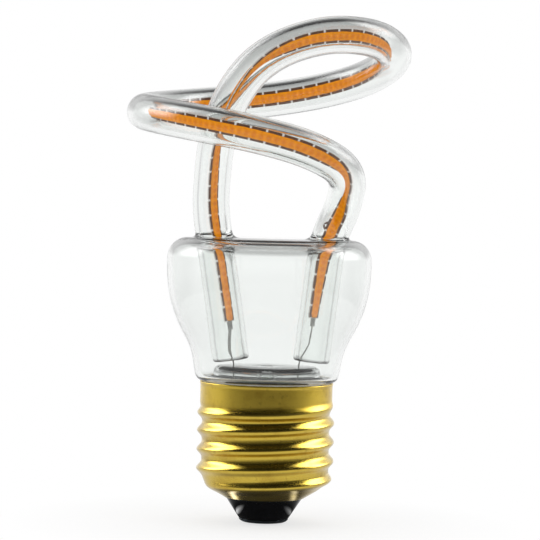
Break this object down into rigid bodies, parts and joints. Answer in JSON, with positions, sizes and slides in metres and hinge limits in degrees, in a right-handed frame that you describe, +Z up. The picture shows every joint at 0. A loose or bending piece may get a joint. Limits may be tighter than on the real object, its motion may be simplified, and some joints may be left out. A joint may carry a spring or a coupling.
{
  "type": "led filament bulb",
  "caption": "Screw-cap decorative lamp: a clear glass tube bent into a loop above a bell-shaped neck, with a coated strip filament inside and a brass screw cap.",
  "frame": {"origin": "tip of the centre contact, on the axis of the screw cap", "axes": "+Z up the cap's axis towards the bell and the loop; -Y is the front, seen with the legs of the tube left and right along X"},
  "size_m": [0.0544, 0.0559, 0.0961],
  "materials": {
    "clear_glass": "clear blown glass, faintly grey-green",
    "strip_copper": "dark brown copper lands on a flexible strip",
    "phosphor": "orange phosphor in silicone, matt",
    "plated_wire": "dull plated wire",
    "shell_brass": "rolled brass, satin",
    "black_insulator": "glossy black insulator",
    "contact_metal": "tinned contact",
    "cement": "basing cement, matt",
    "board_green": "green solder mask",
    "black_plastic": "moulded package",
    "capacitor_can": "drawn can",
    "resistor_body": "fired body",
    "wire_jacket": "wire insulation"
  },
  "bodies": {
    "root": {"glass_envelope": "clear_glass", "glass_stem": "clear_glass", "filament_strip": "strip_copper", "front_coat": "phosphor", "back_coat": "phosphor", "left_terminal": "plated_wire", "right_terminal": "plated_wire", "left_lead": "plated_wire", "right_lead": "plated_wire", "screw_shell": "shell_brass", "base_insulator": "black_insulator", "centre_contact": "contact_metal", "basing_cement": "cement", "driver_board": "board_green", "driver_chip": "black_plastic", "bridge_rectifier": "black_plastic", "smoothing_capacitor": "capacitor_can", "fuse_resistor": "resistor_body", "shell_wire": "wire_jacket", "contact_wire": "wire_jacket"}
  },
  "joints": []
}
